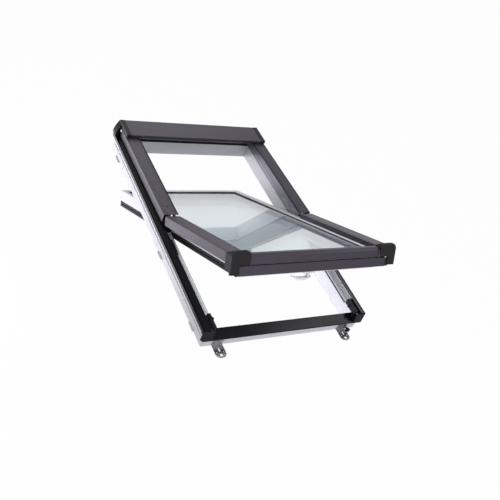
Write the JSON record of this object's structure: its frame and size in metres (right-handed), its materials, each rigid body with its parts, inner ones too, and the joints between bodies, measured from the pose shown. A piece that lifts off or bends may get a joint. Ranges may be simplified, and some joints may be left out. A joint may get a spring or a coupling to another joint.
{
  "type": "roof skylight",
  "caption": "Centre-pivot roof window: white frame and open double-glazed sash, anthracite covers and hood, room-side handle, pivot hinges, lock rods and fixing brackets.",
  "frame": {"origin": "middle of the frame on its room-side face, in the plane of the fixing brackets' feet", "axes": "+X across the width, +Y up the roof slope, +Z outdoors, normal to the roof"},
  "size_m": [0.78, 1.306, 0.6753],
  "materials": {
    "white_plastic": "smooth white plastic extrusion, semi-gloss",
    "black_profile": "near-black coated extrusion",
    "black_plastic": "charcoal moulded plastic, fine grain",
    "rail_metal": "slotted mill-finish strip",
    "seal_rubber": "black extruded rubber",
    "cover_metal": "anthracite grey coated sheet, satin",
    "trim_grey": "mid grey coated strip",
    "zinc_steel": "bright zinc-plated steel",
    "hinge_steel": "black coated steel",
    "glazing": "clear float glass",
    "spacer_metal": "perforated spacer bar",
    "side_clip_plastic": "light grey moulded clip",
    "handle_finish": "pale silver lacquer"
  },
  "bodies": {
    "frame": {"frame_profile": "white_plastic", "edge_profile_left": "black_profile", "edge_profile_right": "black_profile", "edge_profile_top": "black_profile", "sill_profile": "black_profile", "sill_corner_left": "black_plastic", "sill_corner_right": "black_plastic", "ledge_rail_left": "rail_metal", "ledge_rail_right": "rail_metal", "ledge_seal_left": "seal_rubber", "ledge_seal_right": "seal_rubber", "upper_trim_left": "trim_grey", "upper_trim_right": "trim_grey", "upper_trim_top": "trim_grey", "upper_seal": "seal_rubber", "side_cover_upper_left": "cover_metal", "side_cover_upper_right": "cover_metal", "cover_clips": "black_plastic", "cover_screws": "hinge_steel", "hood": "cover_metal", "hood_carrier": "trim_grey", "hood_cap_left": "black_plastic", "hood_cap_right": "black_plastic", "hinge_frame_left": "hinge_steel", "hinge_frame_right": "hinge_steel", "hinge_pins": "hinge_steel", "keep_left": "black_plastic", "keep_right": "black_plastic", "stay_block_left": "black_plastic", "stay_block_right": "black_plastic", "bracket_bottom_left": "zinc_steel", "bracket_bottom_right": "zinc_steel", "bracket_top_left": "zinc_steel", "bracket_top_right": "zinc_steel", "bracket_screws": "zinc_steel", "level_cam": "black_plastic", "side_clips": "side_clip_plastic"},
    "sash": {"sash_profile": "white_plastic", "glass_outer": "glazing", "glass_inner": "glazing", "glass_spacer": "spacer_metal", "bed_seal": "seal_rubber", "rim_seal": "seal_rubber", "glazing_bead": "white_plastic", "sash_seal_left": "seal_rubber", "sash_seal_right": "seal_rubber", "side_cover_lower_left": "cover_metal", "side_cover_lower_right": "cover_metal", "bottom_cover_upper": "cover_metal", "bottom_cover_lower": "cover_metal", "corner_cap_left": "black_plastic", "corner_cap_right": "black_plastic", "hinge_sash_left": "hinge_steel", "hinge_sash_right": "hinge_steel", "lock_case": "zinc_steel", "handle_rosette": "handle_finish"},
    "handle": {"handle_lever": "handle_finish", "handle_spindle": "zinc_steel"},
    "rod_left": {"lock_rod_left": "zinc_steel"},
    "rod_right": {"lock_rod_right": "zinc_steel"}
  },
  "joints": [
    {"name": "sash_pivot", "type": "hinge", "parent": "frame", "child": "sash", "pos_m": [0, -0.04, 0.159], "axis": [-1, 0, 0], "range_deg": [-29.74, 120]},
    {"name": "handle_turn", "type": "hinge", "parent": "sash", "child": "handle", "pos_m": [0.014, -0.51767, 0.31673], "axis": [0, -0.4961, -0.8683], "range_deg": [0, 90]},
    {"name": "rod_left_slide", "type": "slide", "parent": "sash", "child": "rod_left", "axis": [-1, 0, 0], "range_m": [0, 0.014]},
    {"name": "rod_right_slide", "type": "slide", "parent": "sash", "child": "rod_right", "axis": [1, 0, 0], "range_m": [0, 0.014]}
  ],
  "couplings": [
    {"joint": "rod_left_slide", "follows": "handle_turn", "m_per_rad": 0.00891},
    {"joint": "rod_right_slide", "follows": "handle_turn", "m_per_rad": 0.00891}
  ]
}
